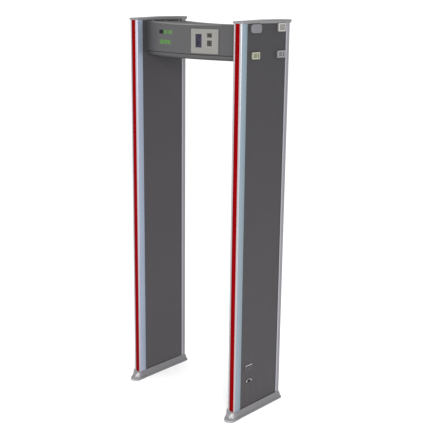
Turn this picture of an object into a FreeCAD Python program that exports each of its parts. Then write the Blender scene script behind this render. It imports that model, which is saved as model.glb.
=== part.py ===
"""Walk-through metal-detector gate: two sensor panels joined by a bowed control beam.

Shapes are drawn in millimetres about the middle of the passage, +X to the right, +Y through the
gate, +Z up from the floor. write() then moves them so that the origin is the bottom centre of the
whole gate. A panel's own pieces are drawn once, with +X pointing out of the gate, and are mirrored
for the left panel. The base shoe is one moulding used on both sides, so it is not mirrored.
"""
import FreeCAD, Part
import math
import os
from FreeCAD import Vector

# ---- driving dimensions -------------------------------------------------------------------------
gate_height = 2220.0
panel_pitch = 790.0
panel_depth = 396.0
panel_thick = 60.0

half_pitch = panel_pitch / 2
half_depth = panel_depth / 2
half_thick = panel_thick / 2

# Base shoe: a low plate and a sloped skirt around the panel. In front a round toe, set to one side,
# has a steep slope with the anchor pocket in it.
shoe_rim = 12.0
shoe_edge_r = 4.0
shoe_height = 43.0
shoe_rear_drop = 15.0
shoe_drop_run = 19.0
shoe_flare = 16.0
shoe_ledge = 4.0
shoe_rear = 12.0
shoe_floor = 8.0
shoe_half = half_thick + shoe_flare
toe_reach = 62.0
toe_radius = 34.0
toe_offset = 16.0
toe_top = 38.0
toe_slope = math.tan(math.radians(50))
toe_start_left = -half_depth + 13.0
toe_start_right = -half_depth + 43.0
anchor_x = 18.0
anchor_y = -half_depth - 21.0
anchor_hole_r = 5.5
anchor_seat_r = 15.3
anchor_seat_z = 7.0

# Top cap: flares outwards from the panel, and its top falls towards the front.
cap_bottom = 2201.5
cap_front = 4.0
cap_side = 7.0
cap_rear = 8.5
cap_corner_r = 9.0
cap_skirt = 2.5
cap_overlap = 6.0
cap_front_edge = 5.0
cap_fall = 7.5
cap_fall_y = 30.0

# Edge profiles, skins and core.
wall = 2.0
fit_gap = 0.1
front_flange = 43.0
rear_flange = 33.0
front_corner_r = 9.0
rear_corner_r = 5.0
web_back = 16.0
slot_half = 15.4
skin_thick = 3.9
core_front = -165.0
core_rear = 170.0
port_r = 4.5
port_hole_r = 2.05
front_port_y = -half_depth + 20.0
rear_port_y = half_depth - 6.0

# Lens and light strip.
lens_half = 15.0
lens_lip_half = 19.5
lens_crown = 2.0
led_pitch = 60.0

# Coils: wound loops bedded in the inner half of the core.
coil_bar = 12.0
coil_x = -14.0
coil_half_y = 130.0
coil_bottom = 150.0
coil_top = 1990.0
coil_corner_r = 40.0
receive_zones = 6

# Crossbeam.
beam_half = half_pitch - half_thick + wall
beam_front_end = -122.0
beam_bow = 56.0
beam_rear = 164.5
beam_bottom = 2003.0
crease_z = 2032.0
beam_top_end = 2197.0
beam_top_dip = 13.0
cover_wall = 3.0
chin_setback = 8.0
crease_lip = 12.0
top_seam_y = -60.0
plate_end = 5.0
base_thick = 2.0
base_z = beam_bottom + cover_wall
end_top_z = 2192.0
end_flange = 15.0
chin_r = 12.0
frame_front = -100.0
frame_rear = beam_rear - cover_wall - fit_gap

# Beam fixings: four bolts through each panel.
bolt_y = (-88.0, 122.0)
bolt_z = (2038.0, 2176.0)
bolt_r = 4.0
bolt_hole_r = 4.25
bolt_head_r = 8.5
bolt_head_h = 5.0

# Control plate on the right half of the beam, display on the left half.
plate_x = 139.0
plate_half_w = 90.0
plate_z = (2037.5, 2167.5)
plate_proud = 4.0
plate_depth = 12.0
plate_wall = 3.0
overlay_x = -2.0
overlay_half_w = 63.0
overlay_z = (2068.0, 2147.0)
lcd_x = -39.0
lcd_half_w = 20.0
lcd_z = (2070.0, 2139.0)
key_x = 34.0
key_pitch_x = 14.6
key_width = 12.9
key_blocks = ((2134.2, 10.1, 8.4), (2093.0, 13.7, 12.3))
key_gap = 0.25
key_proud = 2.0
key_travel = 1.0

display_x = -165.0
display_half_w = 74.0
display_z = (2066.0, 2162.0)
display_thick = 2.0
upper_digits = "00128"
lower_digits = "002046"

# Mains inlet and switch, low on the right panel's outer face.
inlet_y = -83.0
inlet_z = 202.0
inlet_screw_pitch = 40.0
switch_y = -87.0
switch_z = 281.0
link_y = -85.0
rocker_r = 15.0
rocker_pivot_x = 22.0
rocker_tilt = 7.0

# Internal wiring.
lead_y = 60.0
lead_z = 2120.0
lead_r = 3.0
lead_bend = 12.0
mains_y = -60.0
mains_r = 3.5
mains_bend = 20.0
mains_x = 8.0
mains_duct_y = -173.5
board_connector_x = 110.0
supply_x = (150.0, 310.0)
mains_entry_x = 230.0

# Whole-gate extents, used to put the origin at the bottom centre.
left_reach = half_pitch + shoe_half
right_reach = half_pitch + toe_offset + toe_radius
front_reach = half_depth + toe_reach
rear_reach = half_depth + shoe_rear
centre_shift = Vector((left_reach - right_reach) / 2, (front_reach - rear_reach) / 2, 0)

PARTS = "parts"


# ---- basic shapes -------------------------------------------------------------------------------
def box(x0, x1, y0, y1, z0, z1):
    return Part.makeBox(x1 - x0, y1 - y0, z1 - z0, Vector(x0, y0, z0))


def rod(x, y, z0, z1, r):
    return Part.makeCylinder(r, z1 - z0, Vector(x, y, z0))


def rod_x(x0, x1, y, z, r):
    return Part.makeCylinder(r, x1 - x0, Vector(x0, y, z), Vector(1, 0, 0))


def rod_y(x, y0, y1, z, r):
    return Part.makeCylinder(r, y1 - y0, Vector(x, y0, z), Vector(0, 1, 0))


def fuse_all(shapes):
    first, rest = shapes[0], shapes[1:]
    if not rest:
        return first
    return first.fuse(rest).removeSplitter()


def cut_all(shape, tools):
    return shape.cut(Part.makeCompound(tools))


def quarter(centre, r, start_deg):
    """A quarter arc in the XY plane, anticlockwise from start_deg."""
    def point(deg):
        a = math.radians(deg)
        return centre + Vector(r * math.cos(a), r * math.sin(a), 0)
    return Part.Arc(point(start_deg), point(start_deg + 45), point(start_deg + 90)).toShape()


def rounded_outline(x0, x1, y0, y1, z, front_r, rear_r):
    """A rectangle in the XY plane with its own radius for the front and the rear corners."""
    corners = [
        (Vector(x0 + front_r, y0 + front_r, z), front_r, 180),
        (Vector(x1 - front_r, y0 + front_r, z), front_r, 270),
        (Vector(x1 - rear_r, y1 - rear_r, z), rear_r, 0),
        (Vector(x0 + rear_r, y1 - rear_r, z), rear_r, 90),
    ]
    arcs = [quarter(*corner) for corner in corners]
    edges = []
    for arc, following in zip(arcs, arcs[1:] + arcs[:1]):
        edges.append(arc)
        edges.append(Part.makeLine(arc.lastVertex().Point, following.firstVertex().Point))
    return Part.Wire(edges)


def prism(wire, height):
    return Part.Face(wire).extrude(Vector(0, 0, height))


def rounded_block(x0, x1, y0, y1, z0, z1, front_r, rear_r):
    return prism(rounded_outline(x0, x1, y0, y1, z0, front_r, rear_r), z1 - z0)


def polygon_prism(points, z0, z1):
    wire = Part.makePolygon([Vector(x, y, z0) for x, y in points + points[:1]])
    return prism(wire, z1 - z0)


def profile_yz(points, x0, x1):
    """A polygon drawn in the YZ plane, from x0 to x1."""
    wire = Part.makePolygon([Vector(x0, y, z) for y, z in points + points[:1]])
    return Part.Face(wire).extrude(Vector(x1 - x0, 0, 0))


def plate_yz(y0, y1, z0, z1, r, x0, x1):
    """A plate in the YZ plane with corner radius r, from x0 to x1."""
    flat = rounded_block(z0, z1, y0, y1, 0, x1 - x0, r, r)
    flat.rotate(Vector(0, 0, 0), Vector(0, 1, 0), -90)
    flat = flat.mirror(Vector(0, 0, 0), Vector(1, 0, 0))
    flat.translate(Vector(x0, 0, 0))
    return flat


def fillet_where(shape, r, wanted):
    edges = [edge for edge in shape.Edges if wanted(edge)]
    return shape.makeFillet(r, edges)


def at_height(edge, z):
    return abs(edge.BoundBox.ZMin - z) < 1e-4 and abs(edge.BoundBox.ZMax - z) < 1e-4


def cable(points, r, bend):
    """A round cable along straight runs joined by tangent arcs."""
    edges = []
    start = points[0]
    for before, corner, after in zip(points, points[1:], points[2:]):
        into = (corner - before).normalize()
        out = (after - corner).normalize()
        half_turn = into.getAngle(out) / 2
        back = bend * math.tan(half_turn)
        arc_start = corner - into * back
        arc_end = corner + out * back
        towards = (out - into).normalize()
        middle = corner + towards * (bend / math.cos(half_turn) - bend)
        edges.append(Part.makeLine(start, arc_start))
        edges.append(Part.Arc(arc_start, middle, arc_end).toShape())
        start = arc_end
    edges.append(Part.makeLine(start, points[-1]))
    path = Part.Wire(edges)
    section = Part.Wire(Part.makeCircle(r, points[0], points[1] - points[0]))
    tube = path.makePipeShell([section], True, False)
    expected = math.pi * r * r * path.Length
    print("cable volume against section times length: %.4f" % (tube.Volume / expected))
    return tube


# ---- placing and writing ------------------------------------------------------------------------
def on_side(shape, side):
    """Put a piece drawn about a panel's centre on the right (1) or left (-1) panel."""
    placed = shape.copy() if side > 0 else shape.mirror(Vector(0, 0, 0), Vector(1, 0, 0))
    placed.translate(Vector(side * half_pitch, 0, 0))
    return placed


def under_panel(shape, side):
    """Put a piece of the base shoe, which is the same moulding on both sides, under a panel."""
    placed = shape.copy()
    placed.translate(Vector(side * half_pitch, 0, 0))
    return placed


def write(name, solids):
    pieces = solids if isinstance(solids, list) else [solids]
    pieces = [solid for piece in pieces for solid in piece.Solids]
    for solid in pieces:
        if not solid.isValid() or solid.Volume <= 0:
            raise ValueError("bad solid in " + name)
    shape = pieces[0].copy() if len(pieces) == 1 else Part.makeCompound(pieces)
    shape.translate(centre_shift)
    shape.exportStep(os.path.join(PARTS, name + ".step"))


# ---- side panels --------------------------------------------------------------------------------
def panel_outline(grow, z):
    return rounded_outline(-half_thick - grow, half_thick + grow, -half_depth - grow,
                           half_depth + grow, z, front_corner_r + grow, rear_corner_r + grow)


profile_bottom = shoe_floor
profile_top = cap_bottom + cap_overlap
web_y = -half_depth + web_back


def front_profile():
    """Aluminium channel: rounded front with a lens slot, a web behind the lens, a screw port."""
    outer = prism(panel_outline(0, profile_bottom), profile_top - profile_bottom)
    outer = outer.common(box(-50, 50, -half_depth, -half_depth + front_flange, 0, 3000))
    inner_x = half_thick - wall
    inner_r = front_corner_r - wall
    light_bay = rounded_block(-inner_x, inner_x, -half_depth + wall, web_y - wall, 0, 3000, inner_r, 1)
    skin_bay = box(-inner_x, inner_x, web_y, -half_depth + front_flange + 1, 0, 3000)
    slot = box(-slot_half, slot_half, -half_depth - 1, -half_depth + wall + 1, 0, 3000)
    port = rod(0, front_port_y, profile_bottom, profile_top, port_r)
    shell = cut_all(outer, [light_bay, skin_bay, slot]).fuse(port)
    return shell.cut(rod(0, front_port_y, 0, 3000, port_hole_r)).removeSplitter()


def rear_profile():
    """Aluminium channel closed at the rear, with rounded corners and a screw port."""
    outer = prism(panel_outline(0, profile_bottom), profile_top - profile_bottom)
    outer = outer.common(box(-50, 50, half_depth - rear_flange, half_depth, 0, 3000))
    inner_x = half_thick - wall
    inner_r = rear_corner_r - wall
    bay = rounded_block(-inner_x, inner_x, half_depth - rear_flange - 1, half_depth - wall, 0, 3000,
                        0.5, inner_r)
    port = rod(0, rear_port_y, profile_bottom, profile_top, port_r)
    shell = outer.cut(bay).fuse(port).common(outer)
    return shell.cut(rod(0, rear_port_y, 0, 3000, port_hole_r)).removeSplitter()


def lens():
    """Light strip cover: a crowned bar in the slot, with a lip behind the profile's front wall."""
    z0 = toe_top + lens_crown * toe_slope + 0.2
    z1 = cap_bottom - 0.3
    front_y = -half_depth
    lip = box(-lens_lip_half, lens_lip_half, front_y + wall + fit_gap, front_y + 4.2, z0, z1)
    left = Vector(-lens_half, front_y + 1, z0)
    right = Vector(lens_half, front_y + 1, z0)
    crown = Part.Arc(left, Vector(0, front_y - lens_crown, z0), right).toShape()
    back_right = Vector(lens_half, front_y + 3, z0)
    back_left = Vector(-lens_half, front_y + 3, z0)
    sides = [Part.makeLine(right, back_right), Part.makeLine(back_right, back_left),
             Part.makeLine(back_left, left)]
    bar = prism(Part.Wire([crown] + sides), z1 - z0)
    return bar.fuse(lip).removeSplitter()


def led_strip():
    """Circuit strip against the web, with light-emitting packages along it."""
    front_y = -half_depth
    z0 = shoe_height + 10
    z1 = cap_bottom - 10
    board = box(-8, 8, web_y - wall - 1.6, web_y - wall, z0, z1)
    count = int((z1 - z0 - 20) // led_pitch) + 1
    packages = []
    for i in range(count):
        z = z0 + 10 + i * led_pitch
        packages.append(box(-2.5, 2.5, front_y + 10.8, web_y - wall - 1.6, z, z + 5))
    return [board] + packages


def coil_loop(z0, z1, x_gap=0.0):
    """One wound loop of square bar, grown all round by x_gap."""
    half = coil_bar / 2 + x_gap
    outer = plate_yz(-coil_half_y - half, coil_half_y + half, z0 - half, z1 + half,
                     coil_corner_r + half, coil_x - half, coil_x + half)
    inner = plate_yz(-coil_half_y + half, coil_half_y - half, z0 + half, z1 - half,
                     coil_corner_r - half, coil_x - half - 1, coil_x + half + 1)
    return outer.cut(inner)


def transmit_spans():
    return [(coil_bottom, coil_top)]


def receive_spans():
    pitch = (coil_top - coil_bottom + 2 * coil_bar) / receive_zones
    return [(coil_bottom + i * pitch, coil_bottom + (i + 1) * pitch - 2 * coil_bar)
            for i in range(receive_zones)]


def bolt_points():
    return [(y, z) for y in bolt_y for z in bolt_z]


def core(spans):
    """Honeycomb board core with grooves for the coil, the coil lead and the beam bolts."""
    inner_x = half_thick - wall - skin_thick - fit_gap
    block = box(-inner_x, inner_x, core_front, core_rear, profile_bottom + 4, profile_top - 4)
    tools = [coil_loop(z0, z1, 0.4) for z0, z1 in spans]
    tools.append(rod(coil_x, lead_y, coil_top, lead_z, lead_r + 1))
    tools.append(rod_x(-inner_x - 1, coil_x, lead_y, lead_z, lead_r + 1))
    tools.append(rod(coil_x, lead_y, lead_z - 20, lead_z + 4, 10))
    tools.append(rod_x(-inner_x - 1, coil_x, lead_y, lead_z, 10))
    tools += [rod_x(-60, 60, y, z, bolt_hole_r) for y, z in bolt_points()]
    return cut_all(block, tools)


def mains_core(spans):
    """The right panel's core: also pocketed for the inlet, the switch and the mains cable."""
    clear = mains_r + 2
    inner_x = half_thick - wall - skin_thick - fit_gap
    tools = [
        box(1, inner_x + 1, inlet_y - 24, inlet_y + 24, inlet_z - 14, inlet_z + 14),
        box(1, inner_x + 1, switch_y - 20, switch_y + 20, switch_z - 16, switch_z + 16),
        rod(12, link_y, inlet_z, switch_z, lead_r + 1.5),
        rod_y(mains_x, core_front - 1, switch_y, switch_z, clear),
        box(mains_x - clear, mains_x + clear, core_front - 1, core_front + 16,
            switch_z - clear, switch_z + 30),
        rod_y(mains_x, core_front - 1, mains_y, lead_z, clear),
        box(mains_x - clear, mains_x + clear, core_front - 1, core_front + 16,
            lead_z - 30, lead_z + clear),
        box(-inner_x - 1, mains_x + clear, mains_y - 30, mains_y + clear,
            lead_z - clear, lead_z + clear),
    ]
    return cut_all(core(spans), tools)


def skin(inner):
    """Laminate board held behind the flanges; the inner one also passes the beam's wiring."""
    x0 = half_thick - wall - skin_thick - fit_gap
    x1 = half_thick - wall - fit_gap
    board = box(x0, x1, web_y + 1, half_depth - wall - 13, profile_bottom + 2, profile_top - 2)
    if inner:
        board = board.mirror(Vector(0, 0, 0), Vector(1, 0, 0))
    tools = [rod_x(-60, 60, y, z, bolt_hole_r) for y, z in bolt_points()]
    if inner:
        tools.append(rod_x(-60, 0, lead_y, lead_z, 10))
    return cut_all(board, tools)


def mains_outer_skin():
    """The right outer board, cut for the inlet body and the switch housing."""
    tools = [
        box(0, 60, inlet_y - 14.2, inlet_y + 14.2, inlet_z - 10.7, inlet_z + 10.7),
        box(0, 60, switch_y - 18.2, switch_y + 18.2, switch_z - 14.2, switch_z + 14.2),
    ]
    tools += [rod_x(0, 60, y, inlet_z, 1.55) for y in inlet_screw_ys]
    return cut_all(skin(False), tools)


def mains_inner_skin():
    return skin(True).cut(rod_x(-60, 0, mains_y, lead_z, 10))


def tangent_point(outside, centre, r, turn):
    """Where the tangent from outside meets the circle, on the side given by turn (1 or -1)."""
    reach = outside - centre
    angle = math.atan2(reach.y, reach.x) + turn * math.acos(r / reach.Length)
    return centre + Vector(r * math.cos(angle), r * math.sin(angle), 0)


def shoe_outline(inset, z):
    """Plan of the shoe: straight sides, rounded rear corners, and the offset round toe."""
    half = shoe_half - inset
    rear_y, rear_r = half_depth + shoe_rear - inset, 12 - inset
    toe_r = toe_radius - inset
    left, right = Vector(-half, toe_start_left, z), Vector(half, toe_start_right, z)
    centre = Vector(toe_offset, -front_reach + toe_radius, z)
    tip = Vector(toe_offset, -front_reach + inset, z)
    left_touch = tangent_point(left, centre, toe_r, 1)
    right_touch = tangent_point(right, centre, toe_r, -1)
    rear_right = quarter(Vector(half - rear_r, rear_y - rear_r, z), rear_r, 0)
    rear_left = quarter(Vector(-half + rear_r, rear_y - rear_r, z), rear_r, 90)
    return Part.Wire([
        Part.makeLine(left, left_touch),
        Part.Arc(left_touch, tip, right_touch).toShape(),
        Part.makeLine(right_touch, right),
        Part.makeLine(right, rear_right.firstVertex().Point),
        rear_right,
        Part.makeLine(rear_right.lastVertex().Point, rear_left.firstVertex().Point),
        rear_left,
        Part.makeLine(rear_left.lastVertex().Point, left),
    ])


def above_toe(proud):
    """Everything above the toe's flat and slope, starting proud of them."""
    def slope_y(z):
        return -half_depth - lens_crown + (z - toe_top) / toe_slope
    high = shoe_height + 10
    points = [(-300, shoe_rim + proud), (slope_y(shoe_rim), shoe_rim + proud),
              (slope_y(high), high + proud), (-300, high + proud)]
    return profile_yz(points, -100, 100)


def above_heel():
    """Everything above the slope in which the skirt falls towards the rear."""
    rear_y = half_depth + shoe_rear
    fall = shoe_rear_drop / shoe_drop_run
    points = [(rear_y - shoe_drop_run, shoe_height), (rear_y + 20, shoe_height - shoe_rear_drop - 20 * fall),
              (rear_y + 20, shoe_height + 20), (rear_y - shoe_drop_run, shoe_height + 20)]
    return profile_yz(points, -100, 100)


def shoe():
    """Base shoe: rim plate with a round toe, sloped skirt, and a socket for the panel."""
    rim = prism(shoe_outline(0, 0), shoe_rim)
    rim = fillet_where(rim, shoe_edge_r, lambda edge: at_height(edge, shoe_rim))
    inset = shoe_edge_r + 1
    foot = rounded_outline(-shoe_half + inset, shoe_half - inset, -half_depth - 28,
                           half_depth + shoe_rear - inset, shoe_rim, 14, 7)
    ledge = rounded_outline(-half_thick - shoe_ledge, half_thick + shoe_ledge,
                            -half_depth - shoe_ledge, half_depth + shoe_ledge, shoe_height, 10, 9)
    skirt = Part.makeLoft([foot, ledge], True, True)
    skirt = skirt.common(prism(shoe_outline(inset, shoe_rim), shoe_height))
    skirt = skirt.cut(above_toe(0)).cut(above_heel())
    body = rim.fuse(skirt).removeSplitter()
    socket = prism(panel_outline(fit_gap, shoe_floor), shoe_height)
    tools = [socket, rod(anchor_x, anchor_y, -1, shoe_height, anchor_hole_r),
             rod(anchor_x, anchor_y, anchor_seat_z, shoe_height + 1, anchor_seat_r)]
    for port_y in (front_port_y, rear_port_y):
        tools.append(rod(0, port_y, -1, shoe_floor + 1, 2.2))
        tools.append(rod(0, port_y, -1, 5, port_r))
    return cut_all(body, tools)


def cap_outline(front, side, rear, corner_r, z):
    return rounded_outline(-half_thick - side, half_thick + side, -half_depth - front,
                           half_depth + rear, z, front_corner_r + front, corner_r)


def cap_top(y):
    """Height of the cap's top, which falls from cap_fall_y to the front."""
    run = cap_fall_y + half_depth + cap_front
    return gate_height - cap_fall * max(0.0, cap_fall_y - y) / run


def cap():
    """Top cap: flared skirt that laps over the panel, rounded top edge, two screw seats."""
    crown_z = gate_height - cap_fall - cap_front_edge
    grow = cap_skirt
    low = cap_outline(grow, grow, grow, rear_corner_r + grow, cap_bottom)
    high = cap_outline(cap_front, cap_side, cap_rear, cap_corner_r, crown_z)
    skirt = Part.makeLoft([low, high], True, True)
    crown = prism(cap_outline(cap_front, cap_side, cap_rear, cap_corner_r, crown_z),
                  gate_height - crown_z)
    front_y = -half_depth - cap_front
    over = profile_yz([(front_y - 50, cap_top(front_y - 50)), (cap_fall_y, gate_height),
                       (300, gate_height), (300, gate_height + 20),
                       (front_y - 50, gate_height + 20)], -100, 100)
    crown = crown.cut(over)
    def top_rim(edge):
        ends = edge.Vertexes
        on_top = all(abs(end.Z - cap_top(end.Y)) < 1e-4 for end in ends)
        across = all(abs(end.Y - cap_fall_y) < 1e-4 for end in ends)
        return on_top and not across
    crown = fillet_where(crown, 2, top_rim)
    body = skirt.fuse(crown).removeSplitter()
    tools = [prism(panel_outline(fit_gap, cap_bottom - 1), cap_overlap + 1)]
    for y in (front_port_y, rear_port_y):
        tools.append(rod(0, y, cap_bottom, gate_height + 1, 2.2))
        tools.append(rod(0, y, cap_top(y) - 4, gate_height + 1, port_r))
    return cut_all(body, tools)


def port_screw(y, head_z, head_h, tip_z):
    """A screw in one of the profile ports, its head towards head_z."""
    low, high = sorted((head_z, tip_z))
    shank = rod(0, y, low, high, 2.0)
    head = rod(0, y, min(head_z, head_z + head_h), max(head_z, head_z + head_h), 4.0)
    return shank.fuse(head).removeSplitter()


def anchor_cup():
    """Bright pressed cup lining the anchor pocket, trimmed just proud of the toe."""
    z = anchor_seat_z
    outer_r = anchor_seat_r - fit_gap
    hole_r = anchor_hole_r + 1
    points = [(hole_r, z), (outer_r, z), (outer_r, shoe_height), (outer_r - 1.4, shoe_height),
              (outer_r - 1.4, z + 4.5), (hole_r, z + 1.2)]
    section = Part.makePolygon([Vector(r, 0, height) for r, height in points + points[:1]])
    cup = Part.Face(section).revolve(Vector(0, 0, 0), Vector(0, 0, 1), 360)
    cup.translate(Vector(anchor_x, anchor_y, 0))
    return cup.cut(above_toe(0.8))


# ---- beam fixings and their covers --------------------------------------------------------------
def beam_bolt(y, z):
    """Flanged bolt from the outer face, through both skins, into the beam's end plate."""
    face_x = half_thick - wall - fit_gap
    length = 2 * face_x + plate_end + 9
    shank = rod_x(face_x - length, face_x, y, z, bolt_r)
    head = rod_x(face_x, face_x + bolt_head_h, y, z, bolt_head_r)
    socket = rod_x(face_x + 2, face_x + bolt_head_h + 1, y, z, 3.0)
    return shank.fuse(head).cut(socket).removeSplitter()


def closed_cover(y, z):
    """Snap-on cover with large corner radii, hollow over the bolt head."""
    face_x = half_thick - wall - fit_gap
    half_w, half_h, deep = 39.0, 22.8, 12.0
    shell = plate_yz(y - half_w, y + half_w, z - half_h, z + half_h, 14, face_x, face_x + deep)
    shell = fillet_where(shell, 3, lambda edge: abs(edge.BoundBox.XMin - face_x - deep) < 1e-4)
    hollow = plate_yz(y - half_w + 3, y + half_w - 3, z - half_h + 3, z + half_h - 3, 11,
                      face_x - 1, face_x + deep - 3)
    return shell.cut(hollow)


def open_cover(y, z, width, height, split):
    """Framed cover with a recessed front, which a rib may split into two bays."""
    face_x = half_thick - wall - fit_gap
    deep, rim = 10.0, 6.0
    shell = plate_yz(y - width / 2, y + width / 2, z - height / 2, z + height / 2, 4,
                     face_x, face_x + deep)
    shell = fillet_where(shell, 1.5, lambda edge: abs(edge.BoundBox.XMin - face_x - deep) < 1e-4)
    hollow = box(face_x - 1, face_x + bolt_head_h + 0.6, y - width / 2 + 3, y + width / 2 - 3,
                 z - height / 2 + 3, z + height / 2 - 3)
    recess = plate_yz(y - width / 2 + rim, y + width / 2 - rim, z - height / 2 + rim,
                      z + height / 2 - rim, 3, face_x + 7.2, face_x + deep + 1)
    if split:
        rib_y = y + width * 0.12
        recess = recess.cut(box(face_x, face_x + deep - 0.6, rib_y - 2, rib_y + 2, z - 50, z + 50))
    return cut_all(shell, [hollow, recess])


def open_covers():
    front_y, rear_y = bolt_y
    low_z, high_z = bolt_z
    return [open_cover(rear_y, high_z + 3.7, 58, 43, False),
            open_cover(front_y, low_z, 59, 36, True),
            open_cover(rear_y, low_z + 1, 63, 37, True)]


# ---- mains inlet and switch ---------------------------------------------------------------------
inlet_screw_ys = (inlet_y - inlet_screw_pitch / 2, inlet_y + inlet_screw_pitch / 2)


def power_inlet():
    """Appliance inlet: flange on the skin, hollow body behind, three contact blades."""
    face_x = half_thick - wall - fit_gap
    flange = plate_yz(inlet_y - 27, inlet_y + 27, inlet_z - 13, inlet_z + 13, 12.5,
                      face_x, face_x + 2.6)
    flange = fillet_where(flange, 0.8, lambda edge: abs(edge.BoundBox.XMin - face_x - 2.6) < 1e-4)
    body = box(3, face_x + 1, inlet_y - 14, inlet_y + 14, inlet_z - 10.5, inlet_z + 10.5)
    cavity = box(11, face_x + 5, inlet_y - 12.2, inlet_y + 12.2, inlet_z - 8.3, inlet_z + 8.3)
    shell = flange.fuse(body).removeSplitter().cut(cavity)
    for y in inlet_screw_ys:
        shell = shell.cut(rod_x(0, 60, y, inlet_z, 1.6))
        shell = shell.cut(Part.makeCone(1.6, 3.2, 1.7, Vector(face_x + 1, y, inlet_z),
                                        Vector(1, 0, 0)))
    blades = [box(10, 25, inlet_y + y - 1, inlet_y + y + 1, inlet_z + z - 2, inlet_z + z + 2)
              for y, z in ((-7, 2.5), (7, 2.5), (0, -2.5))]
    return shell.fuse(blades).removeSplitter()


def inlet_screw(y):
    face_x = half_thick - wall - fit_gap
    shank = rod_x(face_x - skin_thick, face_x + 1.2, y, inlet_z, 1.5)
    head = Part.makeCone(1.5, 3.1, 1.6, Vector(face_x + 1.1, y, inlet_z), Vector(1, 0, 0))
    button = Part.makeSphere(5.4, Vector(face_x - 1.75, y, inlet_z))
    button = button.common(rod_x(face_x + 2.69, face_x + 6, y, inlet_z, 3.1))
    return fuse_all([shank, head, button])


def switch_bezel():
    """Switch housing in the skin with a wide bezel and pivot holes for the rocker."""
    face_x = half_thick - wall - fit_gap
    y, z = switch_y, switch_z
    bezel = plate_yz(y - 30, y + 30, z - 17, z + 17, 5, face_x, face_x + 3)
    bezel = fillet_where(bezel, 1.2, lambda edge: abs(edge.BoundBox.XMin - face_x - 3) < 1e-4)
    housing = box(4, face_x + 1, y - 18, y + 18, z - 14, z + 14)
    bay = box(7, face_x + 5, y - rocker_r - 0.3, y + rocker_r + 0.3, z - 11.3, z + 11.3)
    pivot = rod(rocker_pivot_x, y, z - 20, z + 20, 1.55)
    pivot = pivot.common(box(0, 60, -300, 300, z - 13.5, z + 13.5))
    return cut_all(bezel.fuse(housing).removeSplitter(), [bay, pivot])


def power_rocker():
    """Rocker with a shallow V face, drawn level and then tilted to its first stop."""
    y, z = switch_y, switch_z
    x = rocker_pivot_x
    drum = rod(x, y, z - 11, z + 11, rocker_r)
    face = [(x - 5, y - 30), (x - 5, y + 30), (x + 11.6, y + 30), (x + 11.6, y + 15),
            (x + 9, y), (x + 11.6, y - 15), (x + 11.6, y - 30)]
    body = drum.common(polygon_prism(face, z - 11, z + 11))
    pins = rod(x, y, z - 13.3, z + 13.3, 1.5)
    rocker = body.fuse(pins).removeSplitter()
    rocker.rotate(Vector(x, y, z), Vector(0, 0, 1), rocker_tilt)
    return rocker


# ---- crossbeam shells ---------------------------------------------------------------------------
bow_r = (beam_half ** 2 + beam_bow ** 2) / (2 * beam_bow)
beam_front_mid = beam_front_end - beam_bow
dip_r = (beam_half ** 2 + beam_top_dip ** 2) / (2 * beam_top_dip)


def bow_y(x, inset=0.0):
    """Y of the bowed front surface at x, set back by inset."""
    return beam_front_mid + bow_r - math.sqrt((bow_r - inset) ** 2 - x * x)


def plan_block(inset, rear_y, z0, z1, half):
    """Beam plan: bowed front set back by inset, flat rear, from x = -half to half."""
    left = Vector(-half, bow_y(half, inset), z0)
    middle = Vector(0, bow_y(0, inset), z0)
    right = Vector(half, bow_y(half, inset), z0)
    rear_right = Vector(half, rear_y, z0)
    rear_left = Vector(-half, rear_y, z0)
    edges = [Part.Arc(left, middle, right).toShape(), Part.makeLine(right, rear_right),
             Part.makeLine(rear_right, rear_left), Part.makeLine(rear_left, left)]
    return prism(Part.Wire(edges), z1 - z0)


def elevation_block(inset, z0, half):
    """Beam elevation: top edge dipping in the middle, lowered by inset."""
    end_z = beam_top_end - beam_top_dip + half * half / (2 * dip_r) - inset
    mid_z = beam_top_end - beam_top_dip - inset
    y = -400
    left, right = Vector(-half, y, end_z), Vector(half, y, end_z)
    low_right, low_left = Vector(half, y, z0), Vector(-half, y, z0)
    edges = [Part.Arc(left, Vector(0, y, mid_z), right).toShape(), Part.makeLine(right, low_right),
             Part.makeLine(low_right, low_left), Part.makeLine(low_left, left)]
    return Part.Face(Part.Wire(edges)).extrude(Vector(0, 800, 0))


def beam_block(inset, rear_y, z0, half):
    return plan_block(inset, rear_y, z0, 2300, half).common(elevation_block(inset, z0, half))


def beam_shell():
    """Front and top skin of the beam, with a lip turned in along the crease."""
    half = beam_half - fit_gap
    outer = beam_block(0, beam_rear, crease_z, half)
    def top_front(edge):
        extent = edge.BoundBox
        high = extent.ZMin > beam_top_end - beam_top_dip - 1
        return high and extent.YMax < beam_front_end + 2 and extent.XLength > 500
    outer = fillet_where(outer, 6, top_front)
    inner = beam_block(cover_wall, beam_rear + 5, crease_z + cover_wall, half + 10)
    mouth = plan_block(crease_lip, beam_rear + 5, crease_z - 5, crease_z + cover_wall + 1, half + 10)
    return cut_all(outer, [inner, mouth])


def on_front(shape, x):
    """Turn a piece drawn facing -Y at x = 0 so that it lies on the bowed front at x."""
    placed = shape.copy()
    placed.rotate(Vector(0, 0, 0), Vector(0, 0, 1), math.degrees(math.asin(x / bow_r)))
    placed.translate(Vector(x, bow_y(x), 0))
    return placed


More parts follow.
